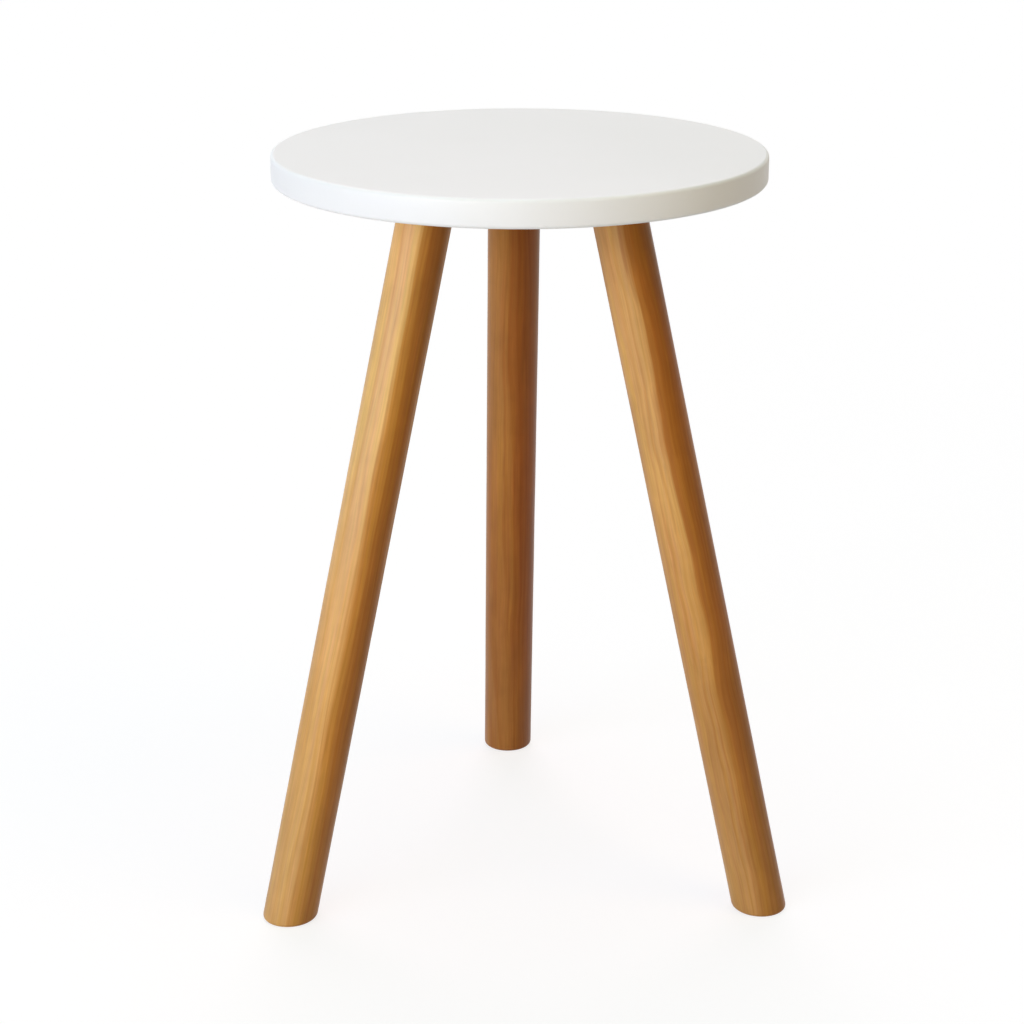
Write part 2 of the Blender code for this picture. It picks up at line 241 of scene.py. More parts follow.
# Light. A level is how bright a white surface gets that faces the lamp, in red, green and blue.
# Azimuths turn as the views do: 0 is the front, and a lamp on the left has a negative one.
LAMPS = {
    "key_left": {"azimuth": -55, "elevation": 6, "width": 40, "level": (0.475, 0.515, 0.69)},
    "key_front": {"azimuth": -27, "elevation": 6, "width": 40, "level": (0.60, 0.58, 0.50)},
    "back": {"azimuth": -178, "elevation": 48, "width": 40, "level": (0.35, 0.28, 0.33)},
    "overhead": {"azimuth": 0, "elevation": 90, "width": 60, "level": (0.18, 0.31, 0.305)},
    "fill_right": {"azimuth": 60, "elevation": 48, "width": 40, "level": (0.20, 0.11, 0.03)},
}
LAMP_DISTANCE = 2.0
WORLD_LEVEL = 0.04
WORLD_COLOUR = (1.0, 0.95, 0.84)
FLOOR_COLOUR = (0.6, 0.59, 0.57)
FLOOR_SHADOW_SHARE = 0.28  # of the floor's white that the lamps give, so that a shadow shows in it
FLOOR_LIGHT = (0.773, 0.785, 0.767)  # what the lamps and the world give the open floor
FLOOR_SIZE = 16.0

board_low, board_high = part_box("top_panel")
AXIS = Vector(((board_low.x + board_high.x) / 2, (board_low.y + board_high.y) / 2, 0))
TOP_RADIUS = (board_high.x - board_low.x) / 2
UNDERSIDE = board_low.z
TOP_THICKNESS = board_high.z - board_low.z

FEET = {m["name"]: Vector(m["pos_m"]) for m in frame["record"]["mounts"] if m["name"].startswith("foot_")}
LEG_RADIUS = LEG_DIAMETER / 2
LEG_REACH_AT_FLOOR = (FEET["foot_rear"] - AXIS).length
SPLAY = math.atan2(LEG_REACH_AT_FLOOR - LEG_REACH_AT_TOP, UNDERSIDE)


def leg_place(side):
    """A leg's own frame: zero is where its axis meets the floor, +Z runs up that axis and +X points outwards."""
    turn = Matrix.Rotation(math.radians(LEG_AZIMUTHS[side]), 4, "Z")
    reach = Matrix.Translation((LEG_REACH_AT_FLOOR, 0, 0))
    return Matrix.Translation(AXIS) @ turn @ reach @ Matrix.Rotation(-SPLAY, 4, "Y")


def local_box(node, place):
    """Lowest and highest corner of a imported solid, seen in the given frame."""
    back = place.inverted()
    points = [back @ vert.co for vert in frame["nodes"][node].data.vertices]
    low = Vector(min(p[i] for p in points) for i in range(3))
    high = Vector(max(p[i] for p in points) for i in range(3))
    return low, high


def add(tree, kind, inputs=None, **settings):
    """A new shader node. Inputs are values, or sockets of other nodes to link."""
    node = tree.nodes.new(kind)
    for name, value in settings.items():
        setattr(node, name, value)
    for name, value in (inputs or {}).items():
        if isinstance(value, bpy.types.NodeSocket):
            tree.links.new(value, node.inputs[name])
        else:
            node.inputs[name].default_value = value
    return node


def calculate(tree, operation, first, second=0.0, third=0.0):
    inputs = {0: first, 1: second, 2: third}
    return add(tree, "ShaderNodeMath", inputs, operation=operation).outputs[0]


def vector_math(tree, operation, first, second):
    return add(tree, "ShaderNodeVectorMath", {0: first, 1: second}, operation=operation).outputs[0]


def stretched(tree, vector, scale, offset=(0, 0, 0)):
    """The vector in units of the given lengths' inverses."""
    inputs = {"Vector": vector, "Scale": scale, "Location": offset}
    return add(tree, "ShaderNodeMapping", inputs).outputs[0]


def cloud(tree, vector, detail=2.0, rough=0.5, scale=1.0):
    """Smooth noise from 0 to 1."""
    inputs = {"Vector": vector, "Scale": scale, "Detail": detail, "Roughness": rough}
    return add(tree, "ShaderNodeTexNoise", inputs).outputs["Fac"]


def ramp(tree, factor, stops):
    """A colour ramp from (place, colour) pairs."""
    stops = list(stops)
    node = add(tree, "ShaderNodeValToRGB", {"Fac": factor})
    band = node.color_ramp
    while len(band.elements) < len(stops):
        band.elements.new(0.5)
    for element, (place, colour) in zip(band.elements, stops):
        element.position = place
        element.color = (*colour, 1.0)
    return node.outputs["Color"]


def grey_ramp(tree, factor, stops):
    return ramp(tree, factor, [(place, (level, level, level)) for place, level in stops])


def mixed(tree, factor, first, second, blend="MIX"):
    """One colour mixed into another. The sockets 0, 6 and 7 are the factor and the two colours."""
    node = add(tree, "ShaderNodeMix", data_type="RGBA", blend_type=blend)
    for socket, value in ((node.inputs[0], factor), (node.inputs[6], first), (node.inputs[7], second)):
        if isinstance(value, bpy.types.NodeSocket):
            tree.links.new(value, socket)
        elif isinstance(value, tuple):
            socket.default_value = (*value, 1.0)
        else:
            socket.default_value = value
    return node.outputs[2]


def tinted(tree, colour, tint, factor=1.0):
    return mixed(tree, factor, colour, tint, "MULTIPLY")


def new_material(name):
    material = bpy.data.materials.new(name)
    material.use_nodes = True
    tree = material.node_tree
    return material, tree, tree.nodes["Principled BSDF"]


def bump(tree, height, distance, normal=None):
    inputs = {"Height": height, "Distance": distance, "Strength": 1.0}
    if normal:
        inputs["Normal"] = normal
    return add(tree, "ShaderNodeBump", inputs).outputs["Normal"]


def white_lacquer():
    """Satin white paint, sprayed: a faint orange peel and hardly visible changes of tone and gloss."""
    material, tree, shader = new_material("white_lacquer")
    place = add(tree, "ShaderNodeTexCoord").outputs["Object"]
    tone = cloud(tree, place, detail=3.0, scale=LACQUER_TONE_SCALE)
    peel = cloud(tree, place, rough=0.45, scale=PEEL_SCALE)
    dust = cloud(tree, place, rough=0.6, scale=DUST_SCALE)
    colour = ramp(tree, tone, zip(CLOUD_SPAN, (LACQUER_LOW, LACQUER_HIGH)))
    tree.links.new(colour, shader.inputs["Base Color"])
    gloss = grey_ramp(tree, tone, zip(CLOUD_SPAN, LACQUER_ROUGHNESS))
    tree.links.new(gloss, shader.inputs["Roughness"])
    under = bump(tree, peel, PEEL_HEIGHT)
    tree.links.new(bump(tree, dust, DUST_HEIGHT, under), shader.inputs["Normal"])
    return material


def stained_pine(side, pith, lean, spacing, figure, wander, seed, tone, foot):
    """Honey-stained pine under satin varnish. Growth rings stand round the pith, which lies outside the pole and
    can lean along it. The tone is deepest at a middle distance from the pith and palest on the far side, which
    faces
    the lamps on the left: the pale side is partly a painted highlight and the deep tone partly painted shade.
    Figure is how strong the rings show, wander how often the fibres swing on their way up, and foot the duller,
    darker tone that is mixed in towards the floor."""
    material, tree, shader = new_material(f"stained_pine_{side}")
    frame_of_leg = leg_place(side)
    inputs = {
        "Vector": add(tree, "ShaderNodeTexCoord").outputs["Object"],
        "Location": frame_of_leg.translation,
        "Rotation": frame_of_leg.to_euler(),
    }
    place = add(tree, "ShaderNodeMapping", inputs, vector_type="TEXTURE").outputs[0]
    start = tuple(seed * share for share in SEED_SPREAD)

    # The fibres wander a little on their way up the pole
    swing = stretched(tree, place, (DRIFT_ACROSS, DRIFT_ACROSS, wander), start)
    drift = add(tree, "ShaderNodeTexNoise", {"Vector": swing, "Scale": 1.0, "Detail": 2.0}).outputs["Color"]
    drift = vector_math(tree, "SUBTRACT", drift, NOISE_MIDDLE)
    drift = add(tree, "ShaderNodeVectorMath", {0: drift, "Scale": FIBRE_DRIFT}, operation="SCALE").outputs[0]
    fibre = vector_math(tree, "ADD", place, drift)

    # Growth rings of uneven width and strength: pale early wood that deepens to late wood
    height = add(tree, "ShaderNodeSeparateXYZ", {"Vector": place}).outputs["Z"]
    centre = add(tree, "ShaderNodeVectorMath", {0: (*lean, 0), "Scale": height}, operation="SCALE").outputs[0]
    centre = vector_math(tree, "ADD", centre, (*pith, 0))
    away = vector_math(tree, "SUBTRACT", vector_math(tree, "MULTIPLY", fibre, (1, 1, 0)), centre)
    reach = add(tree, "ShaderNodeVectorMath", {0: away}, operation="LENGTH").outputs["Value"]
    uneven = cloud(tree, stretched(tree, fibre, UNEVEN_SCALE, start))
    uneven = calculate(tree, "MULTIPLY", uneven, RING_UNEVENNESS)
    turn = calculate(tree, "MULTIPLY_ADD", reach, 1 / spacing, uneven)
    ring = calculate(tree, "FRACT", turn)
    late = grey_ramp(tree, ring, LATE_WOOD)
    strength = cloud(tree, stretched(tree, fibre, STRENGTH_SCALE, start))
    strength = grey_ramp(tree, strength, zip(STREAK_SPAN, (FAINT_SHARE * figure, figure)))

    # The tone by the wood's age, which runs from 0 on the pith's side of the pole to 1 on the far one. The far,
    # pale side faces the lamps on the left and is partly a painted highlight, and the deep tone beside it is
    # partly painted shade
    near = Vector(pith).length - LEG_RADIUS
    age = calculate(tree, "MULTIPLY_ADD", reach, 1 / LEG_DIAMETER, -near / LEG_DIAMETER)
    wide = cloud(tree, stretched(tree, fibre, STREAK_SCALE, start))
    age = calculate(tree, "MULTIPLY_ADD", wide, STREAK_SHARE, age)
    # pale: partly a painted highlight on the side towards the lamps; deep: partly painted shade
    pale, middle, deep = tone
    light = tuple((one + other) / 2 for one, other in zip(pale, middle))
    colour = ramp(tree, age, zip(STAIN_AND_PAINTED_LIGHT_AGES, (light, middle, deep, deep, middle, pale)))

    # Duller towards the floor, lighter and darker along the pole with painted shade of the board at its upper
    # end, and darker in the late wood
    rise = calculate(tree, "MULTIPLY", height, 1 / FOOT_REACH)
    low = grey_ramp(tree, rise, [(0.0, FOOT_SHARE), (1.0, 0.0)])
    colour = mixed(tree, low, colour, foot)
    along = calculate(tree, "MULTIPLY", height, 1 / leg_length(side))
    colour = tinted(tree, colour, ramp(tree, along, TONE_AND_PAINTED_SHADE_ALONG))
    colour = tinted(tree, colour, LATE_TINT, calculate(tree, "MULTIPLY", late, strength))

    # Wide streaks of two hues, finer ones that can also be felt, and stain that soaked in unevenly
    colour = tinted(tree, colour, ramp(tree, wide, zip(STREAK_SPAN, (ROSY_TINT, GOLDEN_TINT))))
    surface = None
    for scale, depth, shades in FIBRES.values():
        streak = cloud(tree, stretched(tree, fibre, scale, start))
        colour = tinted(tree, colour, grey_ramp(tree, streak, shades))
        surface = bump(tree, streak, depth, surface)
    for scale, detail, shades in SOAKS.values():
        soak = cloud(tree, stretched(tree, place, scale, start), detail)
        colour = tinted(tree, colour, grey_ramp(tree, soak, shades))
    tree.links.new(colour, shader.inputs["Base Color"])

    gloss = grey_ramp(tree, wide, zip(GLOSS_SPAN, PINE_ROUGHNESS))
    tree.links.new(gloss, shader.inputs["Roughness"])
    shader.inputs["Specular IOR Level"].default_value = PINE_SPECULAR
    tree.links.new(surface, shader.inputs["Normal"])
    return material


def plated_steel(name):
    """Zinc plating: faint frosted spangle, rubbed brighter in places."""
    colour, rough = STEELS[name]
    material, tree, shader = new_material(name)
    place = add(tree, "ShaderNodeTexCoord").outputs["Object"]
    spangle = add(tree, "ShaderNodeTexVoronoi", {"Vector": place, "Scale": SPANGLE_SCALE}).outputs["Color"]
    level = add(tree, "ShaderNodeRGBToBW", {"Color": spangle}).outputs[0]
    smear = cloud(tree, place, detail=4.0, rough=0.6, scale=SMEAR_SCALE)
    dark = tuple(SPANGLE_DARK * value for value in colour)
    shade = mixed(tree, calculate(tree, "MULTIPLY", level, SPANGLE_SHARE), colour, dark)
    tree.links.new(shade, shader.inputs["Base Color"])
    shader.inputs["Metallic"].default_value = 1.0
    gloss = grey_ramp(tree, smear, zip(CLOUD_SPAN, (rough + change for change in SMEAR_GLOSS)))
    tree.links.new(gloss, shader.inputs["Roughness"])
    tree.links.new(bump(tree, smear, SMEAR_HEIGHT), shader.inputs["Normal"])
    return material


def mesh_object(name, mesh, material, place, node):
    """A finished piece: in place, riding on the table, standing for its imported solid."""
    mesh.materials.clear()
    mesh.materials.append(material)
    mesh.transform(place)
    obj = bpy.data.objects.new(name, mesh)
    bpy.context.scene.collection.objects.link(obj)
    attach(obj, "root")
    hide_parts(node)
    return obj


def working(name, mesh):
    obj = bpy.data.objects.new(name, mesh)
    bpy.context.scene.collection.objects.link(obj)
    return obj


def to_mesh(name, shape):
    mesh = bpy.data.meshes.new(name)
    bmesh.ops.recalc_face_normals(shape, faces=shape.faces)
    shape.to_mesh(mesh)
    shape.free()
    return mesh


def finished(obj):
    """The working object's mesh with its modifiers applied, smooth but for its real edges. The object goes."""
    graph = bpy.context.evaluated_depsgraph_get()
    mesh = bpy.data.meshes.new_from_object(obj.evaluated_get(graph))
    mesh.name = obj.name
    shape = bmesh.new()
    shape.from_mesh(mesh)
    bmesh.ops.remove_doubles(shape, verts=shape.verts, dist=WELD_DISTANCE)
    shape.to_mesh(mesh)
    shape.free()
    mesh.shade_smooth()
    mesh.set_sharp_from_angle(angle=SHARP_ANGLE)
    bpy.data.objects.remove(obj)
    return mesh


def turned(name, profile, sides):
    """A working object turned about Z from (radius, height) points that run down its outer side."""
    mesh = bpy.data.meshes.new(name)
    points = [(radius, 0, height) for radius, height in profile]
    mesh.from_pydata(points, [(i, i + 1) for i in range(len(points) - 1)], [])
    obj = working(name, mesh)
    screw = obj.modifiers.new("turn", "SCREW")
    screw.steps = sides
    screw.render_steps = sides
    screw.use_merge_vertices = True
    screw.merge_threshold = MERGE_DISTANCE
    return obj


def quarter(centre_radius, centre_height, radius, start):
    """Points of a quarter circle, turning clockwise from the start angle in degrees."""
    angles = [math.radians(start - 90 * step / EDGE_STEPS) for step in range(EDGE_STEPS + 1)]
    return [(centre_radius + radius * math.cos(a), centre_height + radius * math.sin(a)) for a in angles]


def board():
    inner = TOP_RADIUS - TOP_EDGE_RADIUS
    upper = quarter(inner, TOP_THICKNESS - TOP_EDGE_RADIUS, TOP_EDGE_RADIUS, 90)
    lower = quarter(inner, TOP_EDGE_RADIUS, TOP_EDGE_RADIUS, 0)
    top = turned("lacquered_board", [(0, TOP_THICKNESS), *upper, *lower, (0, 0)], TOP_SIDES)
    place = Matrix.Translation(AXIS + Vector((0, 0, UNDERSIDE)))
    for side in LEG_AZIMUTHS:
        low, high = local_box(f"plate_screw_{side}_1", plate_places(side)[0])
        room = screw_room(high.z - low.z, (high.x - low.x) / 2)
        holes = [place.inverted() @ screw_place for screw_place in screw_places(side)]
        boolean(top, "DIFFERENCE", copies("pilot_holes", room, holes))
    mesh_object("lacquered_board", finished(top), white_lacquer(), place, "top_panel")


def block(width, depth, low, high):
    """A box about Z, from one height up to another."""
    shape = bmesh.new()
    bmesh.ops.create_cube(shape, size=1)
    bmesh.ops.scale(shape, vec=(width, depth, high - low), verts=shape.verts)
    bmesh.ops.translate(shape, vec=(0, 0, (low + high) / 2), verts=shape.verts)
    return shape


def round_off(shape, edges, radius, steps):
    bmesh.ops.bevel(
        shape, geom=edges, offset=radius, segments=steps, profile=0.5, affect="EDGES", clamp_overlap=False
    )


def slice_across(shape, point, up, clear=False):
    """Cuts the whole shape along a plane, and clears what is under it where asked."""
    everything = [*shape.verts, *shape.edges, *shape.faces]
    bmesh.ops.bisect_plane(shape, geom=everything, plane_co=point, plane_no=up, clear_inner=clear)


def uneven_depth(point):
    """How much sanding took off at a point of a pole, which is at most SANDING_DEPTH."""
    wave = Vector((point.x / SANDING_ROUND, point.y / SANDING_ROUND, point.z / SANDING_LENGTH))
    level = max(-1.0, min(1.0, SANDING_CONTRAST * noise.noise(wave)))
    return SANDING_DEPTH * (0.5 + 0.5 * level)


def pole(side):
    """A leg: turned pole, cut level at the floor with a softened edge, chamfered and bored at its upper end."""
    place = leg_place(side)
    radius = local_box(f"leg_{side}", place)[1].y - POLE_ROOM
    length = leg_length(side)
    below = radius * math.tan(SPLAY) + OVERRUN
    shape = bmesh.new()
    bmesh.ops.create_cone(
        shape, cap_ends=True, segments=LEG_SIDES, radius1=radius, radius2=radius, depth=length + below
    )
    bmesh.ops.translate(shape, vec=(0, 0, (length - below) / 2), verts=shape.verts)
    level = Vector((math.sin(SPLAY), 0, math.cos(SPLAY)))  # straight up, in the leg's frame
    slice_across(shape, (0, 0, 0), level, clear=True)
    bmesh.ops.holes_fill(shape, edges=[edge for edge in shape.edges if edge.is_boundary], sides=LEG_SIDES)
    rims = [edge for edge in shape.edges if edge.calc_face_angle(0) > FOLD_ANGLE]
    foot = [edge for edge in rims if edge.verts[0].co.z < length / 2]
    round_off(shape, foot, LEG_FOOT_RADIUS, EDGE_STEPS)
    end = [edge for edge in shape.edges if all(abs(v.co.z - length) < MERGE_DISTANCE for v in edge.verts)]
    round_off(shape, end, LEG_END_CHAMFER, FINE_EDGE_STEPS)
    start = 2 * LEG_FOOT_RADIUS + below
    stop = length - 2 * LEG_END_CHAMFER
    for ring in range(LEG_RINGS):
        slice_across(shape, (0, 0, start + (stop - start) * ring / LEG_RINGS), (0, 0, 1))
    seed = Vector((0, 0, PINES[side]["seed"]))
    for vert in shape.verts:
        out = vert.co.xy.length
        if start <= vert.co.z < stop and out > radius - LEG_END_CHAMFER:
            scale = 1 - uneven_depth(vert.co + seed) / out
            vert.co.x *= scale
            vert.co.y *= scale
    leg = working(f"pine_leg_{side}", to_mesh(f"pine_leg_{side}", shape))
    bore = BOLT_DIAMETER / 2 + FIT_GAP
    bottom = length - BOLT_IN_LEG - BOLT_HOLE_ROOM
    hole = [(0, length + OVERRUN), (bore, length + OVERRUN), (bore, bottom), (0, bottom)]
    boolean(leg, "DIFFERENCE", turned("bolt_hole", hole, HOLE_SIDES))
    material = stained_pine(side, **PINES[side])
    mesh_object(f"pine_leg_{side}", finished(leg), material, place, f"leg_{side}")


def thread_height(turns, sharp):
    """From 0 in the valley to 1 on the crest of a thread, for a place counted in turns."""
    across = abs(2 * (turns - math.floor(turns)) - 1)
    return across**sharp


def threaded(name, stations, sides):
    """A pin about Z. Stations run from its lower to its upper end, each with its height, radius, thread depth,
    pitch and sharpness."""
    shape = bmesh.new()
    loops = []
    for height, radius, depth, pitch, sharp in stations:
        loop = []
        for side in range(sides):
            turn = side / sides
            lift = thread_height(height / pitch - turn, sharp) if depth else 1.0
            out = radius - depth * (1 - lift)
            angle = math.tau * turn
            loop.append(shape.verts.new((out * math.cos(angle), out * math.sin(angle), height)))
        loops.append(loop)
    for lower, upper in zip(loops, loops[1:]):
        for side in range(sides):
            shape.faces.new((lower[side - 1], lower[side], upper[side], upper[side - 1]))
    shape.faces.new(loops[-1])
    shape.faces.new(reversed(loops[0]))
    return working(name, to_mesh(name, shape))


def thread_run(start, stop, radius, depth, pitch, sharp, taper=None):
    """Stations along a thread that runs out at both ends. Taper gives a narrower radius at a height."""
    count = max(2, round((stop - start) / pitch * THREAD_STEPS))
    stations = []
    for step in range(count + 1):
        height = start + (stop - start) * step / count
        fade = min(1.0, (height - start) / THREAD_FADE, (stop - height) / THREAD_FADE)
        out = min(radius, taper(height)) if taper else radius
        stations.append((height, out, min(depth * fade, THREAD_LIMIT * out), pitch, sharp))
    return stations


def station_place(side):
    """The frame of one leg's side of the table: zero on the table's axis at the floor, +X outwards."""
    return Matrix.Translation(AXIS) @ Matrix.Rotation(math.radians(LEG_AZIMUTHS[side]), 4, "Z")


def plate_places(side):
    """The plate's frame, the plate's half side, and the frame of its slanted seat in the plate's own."""
    station = station_place(side)
    low, high = local_box(f"leg_plate_{side}", station)
    middle = station @ Matrix.Translation(((low.x + high.x) / 2, 0, UNDERSIDE - FIT_GAP))
    leg_end = middle.inverted() @ leg_place(side) @ Vector((0, 0, leg_length(side) + FIT_GAP))
    seat = Matrix.Translation(leg_end) @ Matrix.Rotation(-SPLAY, 4, "Y")
    return middle, (high.x - low.x) / 2, seat


def leg_length(side):
    return local_box(f"leg_{side}", leg_place(side))[1].z


def screw_room(length, head):
    """A cutter for a screw's hole, in the screw's own frame: its head's flat face is at zero and it points up."""
    shank = SCREW_DIAMETER / 2 + FIT_GAP
    wide = head + FIT_GAP * math.sqrt(2)
    profile = [
        (0, length + SCREW_HOLE_ROOM),
        (shank, length + SCREW_HOLE_ROOM),
        (shank, SCREW_HEAD_RIM + wide - shank),
        (wide, SCREW_HEAD_RIM),
        (wide, -OVERRUN),
        (0, -OVERRUN),
    ]
    return finished(turned("screw_room", profile, HOLE_SIDES))


def copies(name, mesh, places):
    """A working object that holds a copy of the mesh at each place."""
    shape = bmesh.new()
    for place in places:
        before = len(shape.verts)
        shape.from_mesh(mesh)
        shape.verts.ensure_lookup_table()
        bmesh.ops.transform(shape, matrix=place, verts=shape.verts[before:])
    return working(name, to_mesh(name, shape))


def boolean(obj, operation, other):
    """Cuts, joins or crosses the working object with another, which goes."""
    modifier = obj.modifiers.new(operation.lower(), "BOOLEAN")
    modifier.operation = operation
    modifier.solver = "EXACT"
    modifier.object = other
    graph = bpy.context.evaluated_depsgraph_get()
    made = bpy.data.meshes.new_from_object(obj.evaluated_get(graph))
    obj.modifiers.clear()
    obj.data = made
    bpy.data.objects.remove(other)


def soften(mesh):
    """Rounds the cut edges of a sheet."""
    shape = bmesh.new()
    shape.from_mesh(mesh)
    bmesh.ops.remove_doubles(shape, verts=shape.verts, dist=SLIVER)
    bmesh.ops.dissolve_degenerate(shape, edges=shape.edges, dist=SLIVER)
    sharp = [edge for edge in shape.edges if edge.calc_face_angle(0) > EDGE_ANGLE]
    round_off(shape, sharp, PLATE_EDGE_RADIUS, FINE_EDGE_STEPS)
    shape.to_mesh(mesh)
    shape.free()


def pressed_plate(side, room, steel):
    """A pressed plate: a square flange round a pocket whose bottom is the slanted seat of the leg."""
    place, half, seat = plate_places(side)
    leg_radius = local_box(f"leg_{side}", leg_place(side))[1].y
    seat_radius = leg_radius + PLATE_SEAT_MARGIN
    flange = Matrix.Translation((0, 0, -PLATE_THICKNESS))
    rings = [
        (2 * half, flange),
        (seat_radius + PLATE_WALL_RUN, flange),
        (seat_radius, seat),
        (BOLT_DIAMETER / 2 + FIT_GAP, seat),
    ]
    shape = bmesh.new()
    loops = []
    for radius, frame_of_ring in rings:
        turns = [math.tau * step / PLATE_SIDES for step in range(PLATE_SIDES)]
        points = [frame_of_ring @ Vector((radius * math.cos(a), radius * math.sin(a), 0)) for a in turns]
        loops.append([shape.verts.new(point) for point in points])
    for outer, inner in zip(loops, loops[1:]):
        for i in range(PLATE_SIDES):
            shape.faces.new((outer[i], outer[i - 1], inner[i - 1], inner[i]))
    name = f"pressed_plate_{side}"
    mesh = to_mesh(name, shape)
    if mesh.polygons[0].normal.z > 0:
        mesh.flip_normals()
    plate = working(name, mesh)
    bend = plate.modifiers.new("bend", "BEVEL")
    bend.width = PLATE_BEND
    bend.segments = BEND_STEPS
    bend.limit_method = "ANGLE"
    bend.angle_limit = FOLD_ANGLE
    thick = plate.modifiers.new("sheet", "SOLIDIFY")
    thick.thickness = PLATE_THICKNESS
    thick.offset = -1
    thick.use_even_offset = True
    depth = seat_radius - seat.translation.z
    blank = block(2 * half, 2 * half, -depth, OVERRUN)
    upright = [edge for edge in blank.edges if edge.verts[0].co.xy == edge.verts[1].co.xy]
    round_off(blank, upright, PLATE_CORNER_RADIUS, CORNER_STEPS)
    boolean(plate, "INTERSECT", working("blank", to_mesh("blank", blank)))
    holes = [place.inverted() @ frame_of_screw for frame_of_screw in screw_places(side)]
    boolean(plate, "DIFFERENCE", copies("holes", room, holes))
    soften(plate.data)
    mesh_object(name, finished(plate), steel, place, f"leg_plate_{side}")


def screw_places(side):
    """The frames of a plate's screws, in the order of their numbers."""
    place = plate_places(side)[0]
    found = []
    for number in range(1, SCREWS_PER_PLATE + 1):
        low, high = local_box(f"plate_screw_{side}_{number}", place)
        middle = (low + high) / 2
        found.append(place @ Matrix.Translation((middle.x, middle.y, low.z)))
    return found


def screw_mesh(length, head):
    """A countersunk wood screw with a cross recess and a thread, in its own frame."""
    shank = SCREW_DIAMETER / 2
    under_head = SCREW_HEAD_RIM + head - shank
    plain = (0.0, SCREW_PITCH, 1.0)
    stations = [
        (0, head, *plain),
        (SCREW_HEAD_RIM, head, *plain),
        (under_head, shank, *plain),
        (under_head + SCREW_NECK, shank, *plain),
    ]

    def tip(height):
        return max(SCREW_TIP_RADIUS, shank * (length - height) / SCREW_POINT)

    start = under_head + SCREW_NECK + RING_GAP
    stop = length - RING_GAP
    stations += thread_run(start, stop, shank, SCREW_THREAD_DEPTH, SCREW_PITCH, SCREW_SHARPNESS, tip)
    screw = threaded("wood_screw", stations, SCREW_SIDES)
    for turn in (0, math.pi / 2):
        blade = block(RECESS_WIDTH, RECESS_SLOT, -OVERRUN, RECESS_DEPTH)
        bottom = [vert for vert in blade.verts if vert.co.z > 0]
        bmesh.ops.scale(blade, vec=(RECESS_BOTTOM_SHARE, RECESS_BOTTOM_SHARE, 1), verts=bottom)
        bmesh.ops.rotate(blade, matrix=Matrix.Rotation(turn, 3, "Z"), verts=blade.verts)
        boolean(screw, "DIFFERENCE", working("blade", to_mesh("blade", blade)))
    return finished(screw)


def hanger_bolt_mesh(past):
    """A hanger bolt in its own frame: zero is at the leg's end, the thread below it is for wood, and the one
    above it for the nut."""
    radius = BOLT_DIAMETER / 2
    plain = (0.0, LAG_PITCH, 1.0)

    def tip(height):
        return max(LAG_TIP_RADIUS, radius * (height + BOLT_IN_LEG) / BOLT_POINT)

    start = RING_GAP - BOLT_IN_LEG
    stations = thread_run(start, -LAG_COLLAR, radius, LAG_DEPTH, LAG_PITCH, LAG_SHARPNESS, tip)
    stations += [(RING_GAP - LAG_COLLAR, radius, *plain), (0, radius, *plain)]
    stop = past - BOLT_END_CHAMFER
    stations += thread_run(RING_GAP, stop, radius, MACHINE_DEPTH, MACHINE_PITCH, MACHINE_SHARPNESS)
    stations.append((past, radius - BOLT_END_CHAMFER, *plain))
    return finished(threaded("hanger_bolt", stations, BOLT_SIDES))


def nut_mesh(across, height):
    """A hexagon nut whose corners are turned off at both ends, in its own frame, lying on zero."""
    corner = across / 2 / math.cos(math.pi / 6)
    start = NUT_CONE_START_SHARE * across / 2
    drop = (corner - start) * math.tan(NUT_CONE)
    hexagon = bmesh.new()
    bmesh.ops.create_cone(
        hexagon, cap_ends=True, segments=6, radius1=corner, radius2=corner, depth=height
    )
    bmesh.ops.translate(hexagon, vec=(0, 0, height / 2), verts=hexagon.verts)
    nut = working("hex_nut", to_mesh("hex_nut", hexagon))
    cones = [(0, height), (start, height), (corner, height - drop), (corner, drop), (start, 0), (0, 0)]
    boolean(nut, "INTERSECT", turned("cones", cones, PLATE_SIDES))
    bore = BOLT_DIAMETER / 2 + FIT_GAP
    mouth = bore + BOLT_END_CHAMFER / 2
    inside = [
        (0, height + OVERRUN),
        (mouth, height + OVERRUN),
        (mouth, height),
        (bore, height - BOLT_END_CHAMFER / 2),
        (bore, BOLT_END_CHAMFER / 2),
        (mouth, 0),
        (mouth, -OVERRUN),
        (0, -OVERRUN),
    ]
    boolean(nut, "DIFFERENCE", turned("bore", inside, BOLT_SIDES))
    return finished(nut)


def hardware():
    """The steel pieces, finer than their solids: rounded bends, turned nuts, and threads on bolts and screws."""
    steels = {name: plated_steel(name) for name in STEELS}
    for side in LEG_AZIMUTHS:
        end = leg_place(side) @ Matrix.Translation((0, 0, leg_length(side)))
        past = local_box(f"hanger_bolt_{side}", end)[1].z
        bolt = hanger_bolt_mesh(past)
        steel = steels["yellow_zinc"]
        mesh_object(f"threaded_bolt_{side}", bolt, steel, end, f"hanger_bolt_{side}")
        low, high = local_box(f"weld_nut_{side}", end)
        nut = nut_mesh(high.x - low.x, high.z - low.z)
        on_seat = end @ Matrix.Translation((0, 0, low.z))
        mesh_object(f"hex_nut_{side}", nut, steels["zinc_nut"], on_seat, f"weld_nut_{side}")
        place = plate_places(side)[0]
        low, high = local_box(f"plate_screw_{side}_1", place)
        length, head = high.z - low.z, (high.x - low.x) / 2
        pressed_plate(side, screw_room(length, head), steels["zinc_plate"])
        for number, screw_place in enumerate(screw_places(side), start=1):
            screw = screw_mesh(length, head)
            name, node = f"wood_screw_{side}_{number}", f"plate_screw_{side}_{number}"
            mesh_object(name, screw, steels["bright_zinc"], screw_place, node)


def visible_ray(tree):
    """1 for a ray that shows the background itself: from the camera, a mirror or glass."""
    path = add(tree, "ShaderNodeLightPath")
    seen = calculate(tree, "MAXIMUM", path.outputs["Is Camera Ray"], path.outputs["Is Glossy Ray"])
    return calculate(tree, "MAXIMUM", seen, path.outputs["Is Transmission Ray"])


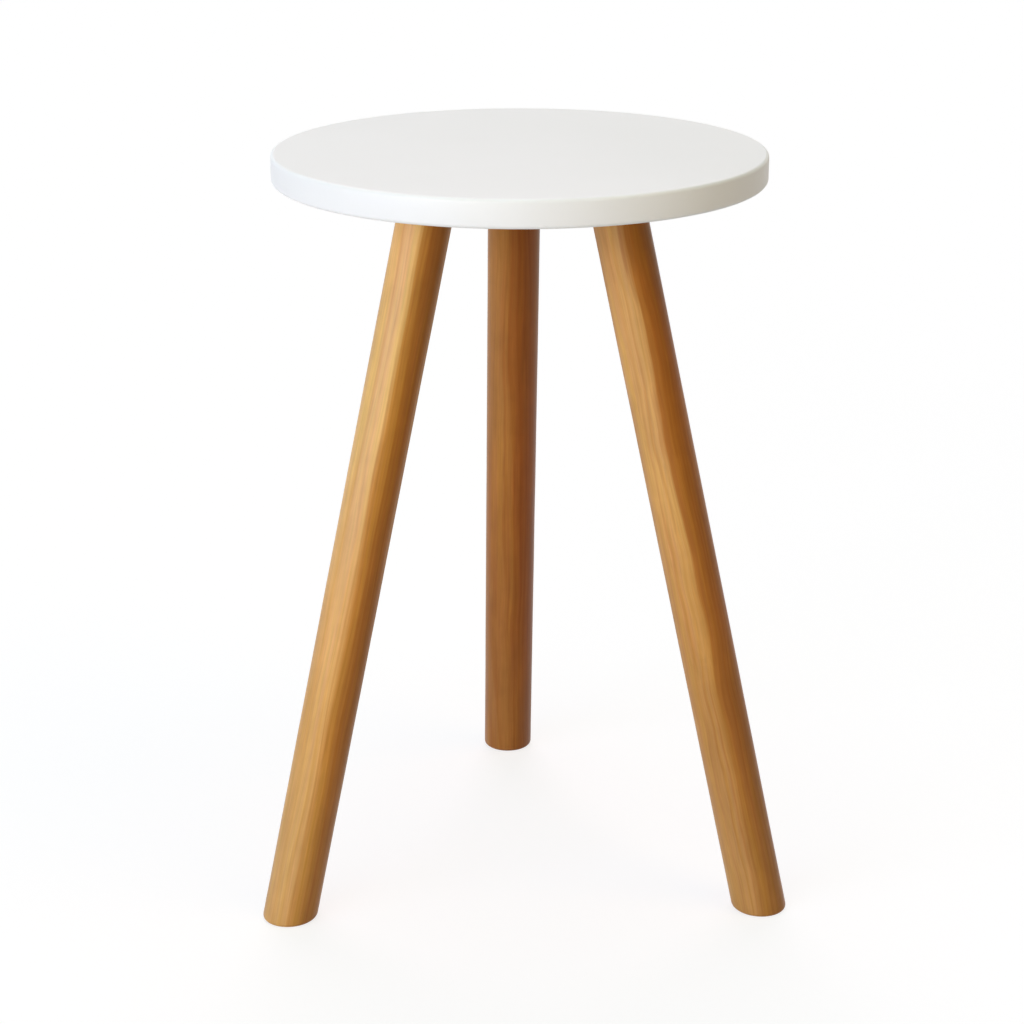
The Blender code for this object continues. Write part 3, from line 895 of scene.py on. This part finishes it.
def stage_floor():
    shape = bmesh.new()
    bmesh.ops.create_grid(shape, x_segments=2, y_segments=2, size=FLOOR_SIZE / 2)
    floor = working("floor", to_mesh("floor", shape))
    material, tree, shader = new_material("pale_floor")
    tree.nodes.remove(shader)
    share = FLOOR_SHADOW_SHARE
    lit = add(tree, "ShaderNodeBsdfDiffuse", {"Color": (share, share, share, 1)})
    rest = [1 - share * level for level in FLOOR_LIGHT]
    glow = add(tree, "ShaderNodeEmission", {"Color": (*rest, 1), "Strength": 1.0})
    shown = add(tree, "ShaderNodeAddShader", {0: lit.outputs[0], 1: glow.outputs[0]})
    real = add(tree, "ShaderNodeBsdfDiffuse", {"Color": (*FLOOR_COLOUR, 1)})
    both = add(
        tree, "ShaderNodeMixShader", {0: visible_ray(tree), 1: real.outputs[0], 2: shown.outputs[0]}
    )
    tree.links.new(both.outputs[0], tree.nodes["Material Output"].inputs["Surface"])
    floor.data.materials.append(material)


def soft_lamp(name, azimuth, elevation, width, level):
    """A far, wide lamp, such as a softbox: width is how many degrees of the sky it fills."""
    lamp = bpy.data.lights.new(name, "SUN")
    lamp.energy = math.pi * max(level)
    lamp.color = [value / max(level) for value in level]
    lamp.angle = math.radians(width)
    obj = bpy.data.objects.new(name, lamp)
    a, e = math.radians(azimuth), math.radians(elevation)
    towards = Vector((math.sin(a) * math.cos(e), -math.cos(a) * math.cos(e), math.sin(e)))
    obj.rotation_euler = towards.to_track_quat("Z", "Y").to_euler()
    obj.location = LAMP_DISTANCE * towards
    bpy.context.scene.collection.objects.link(obj)


def light():
    for name, values in LAMPS.items():
        soft_lamp(name, **values)
    world = bpy.data.worlds.new("studio")
    bpy.context.scene.world = world
    world.use_nodes = True
    tree = world.node_tree
    tree.nodes.clear()
    room = add(tree, "ShaderNodeBackground", {"Color": (*WORLD_COLOUR, 1), "Strength": WORLD_LEVEL})
    white = add(tree, "ShaderNodeBackground", {"Color": (1, 1, 1, 1), "Strength": 1.0})
    both = add(
        tree, "ShaderNodeMixShader", {0: visible_ray(tree), 1: room.outputs[0], 2: white.outputs[0]}
    )
    output = add(tree, "ShaderNodeOutputWorld")
    tree.links.new(both.outputs[0], output.inputs["Surface"])


def camera():
    data = bpy.data.cameras.new("camera")
    data.sensor_width = CAMERA_SENSOR
    data.lens = CAMERA_LENS
    obj = bpy.data.objects.new("camera", data)
    obj.location = AXIS + CAMERA_PLACE
    obj.rotation_euler = (math.pi / 2 - CAMERA_PITCH, 0, -CAMERA_YAW)
    bpy.context.scene.collection.objects.link(obj)
    bpy.context.scene.camera = obj


camera()
light()
stage_floor()
board()
for leg_side in LEG_AZIMUTHS:
    pole(leg_side)
hardware()
bpy.context.scene.view_settings.view_transform = "Standard"
